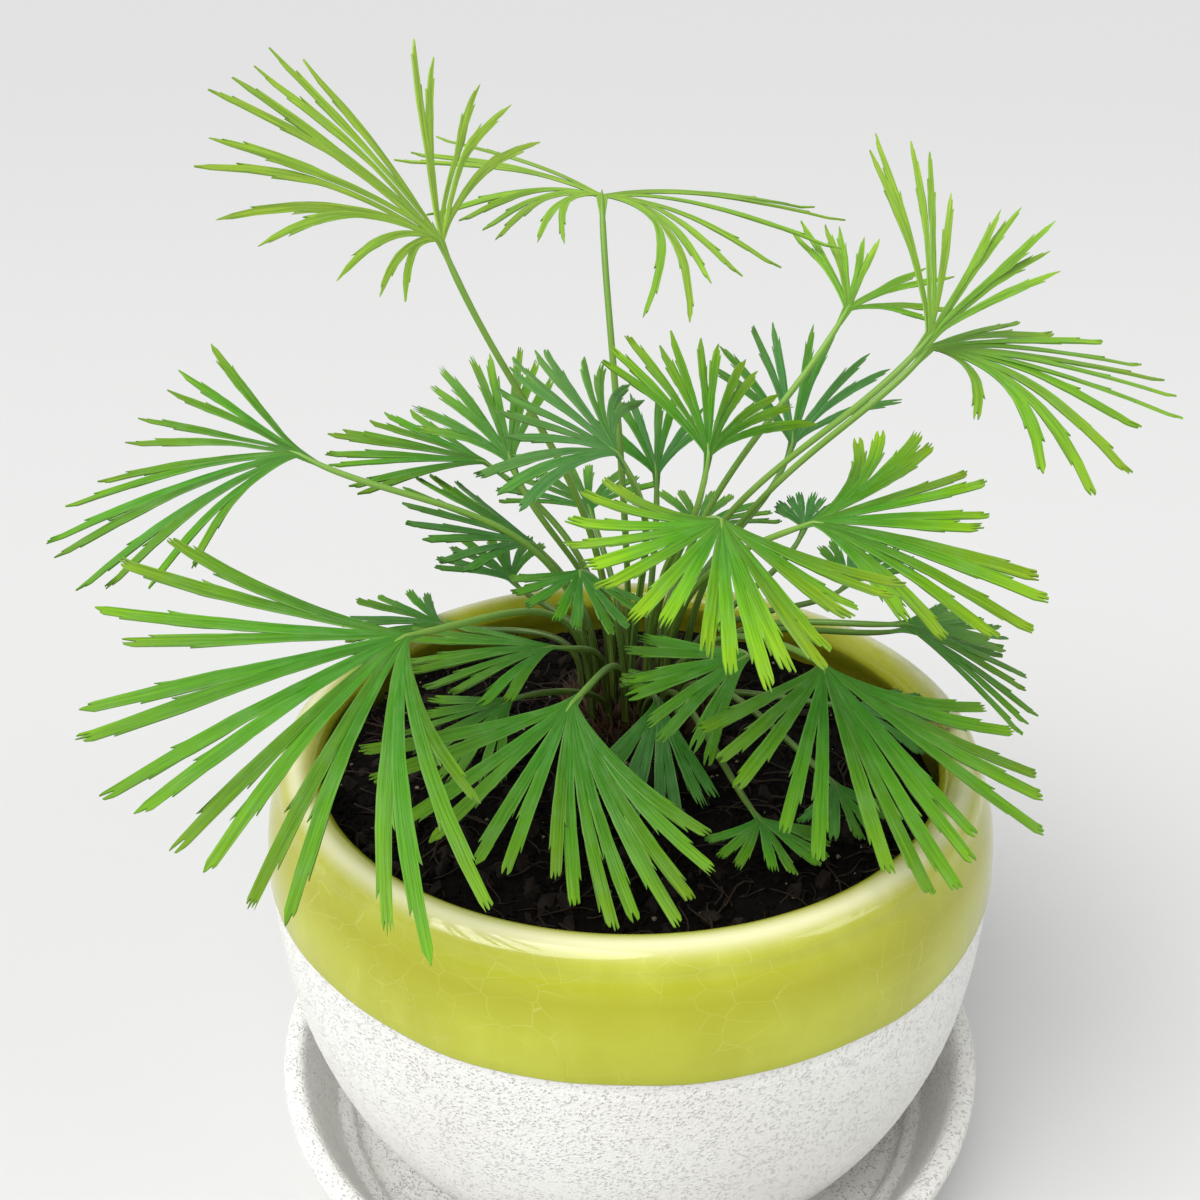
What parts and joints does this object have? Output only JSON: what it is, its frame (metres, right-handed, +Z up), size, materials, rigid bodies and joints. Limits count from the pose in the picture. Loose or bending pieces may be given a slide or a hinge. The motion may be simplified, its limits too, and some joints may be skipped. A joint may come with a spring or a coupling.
{
  "type": "potted eyelash fern",
  "caption": "Fern with fan-shaped blades split into narrow lobes on thin stipes, growing from a scaly crown in soil, in a round glazed bowl that stands on a flat saucer.",
  "frame": {"origin": "middle of the saucer's flat underside", "axes": "+Z up, -Y to the front as pictured, +X to the right; metres"},
  "size_m": [0.19, 0.1472, 0.2016],
  "materials": {
    "saucer_bisque": "matte",
    "pot_glaze": "gloss",
    "potting_mix": "matte",
    "rhizome": "matte",
    "frond_leaf": "satin"
  },
  "bodies": {
    "root": {"saucer": "saucer_bisque", "pot": "pot_glaze", "soil": "potting_mix", "crown": "rhizome", "frond_01": "frond_leaf", "frond_02": "frond_leaf", "frond_03": "frond_leaf", "frond_04": "frond_leaf", "frond_05": "frond_leaf", "frond_06": "frond_leaf", "frond_07": "frond_leaf", "frond_08": "frond_leaf", "frond_09": "frond_leaf", "frond_10": "frond_leaf", "frond_11": "frond_leaf", "frond_12": "frond_leaf", "frond_13": "frond_leaf", "frond_14": "frond_leaf", "frond_15": "frond_leaf", "frond_16": "frond_leaf", "frond_17": "frond_leaf", "frond_18": "frond_leaf", "frond_19": "frond_leaf", "frond_20": "frond_leaf", "frond_21": "frond_leaf", "frond_22": "frond_leaf", "frond_23": "frond_leaf", "frond_24": "frond_leaf", "frond_25": "frond_leaf", "frond_26": "frond_leaf", "frond_27": "frond_leaf", "frond_28": "frond_leaf", "frond_29": "frond_leaf", "frond_30": "frond_leaf", "frond_31": "frond_leaf", "frond_32": "frond_leaf", "frond_33": "frond_leaf", "frond_34": "frond_leaf", "frond_35": "frond_leaf"}
  },
  "joints": []
}
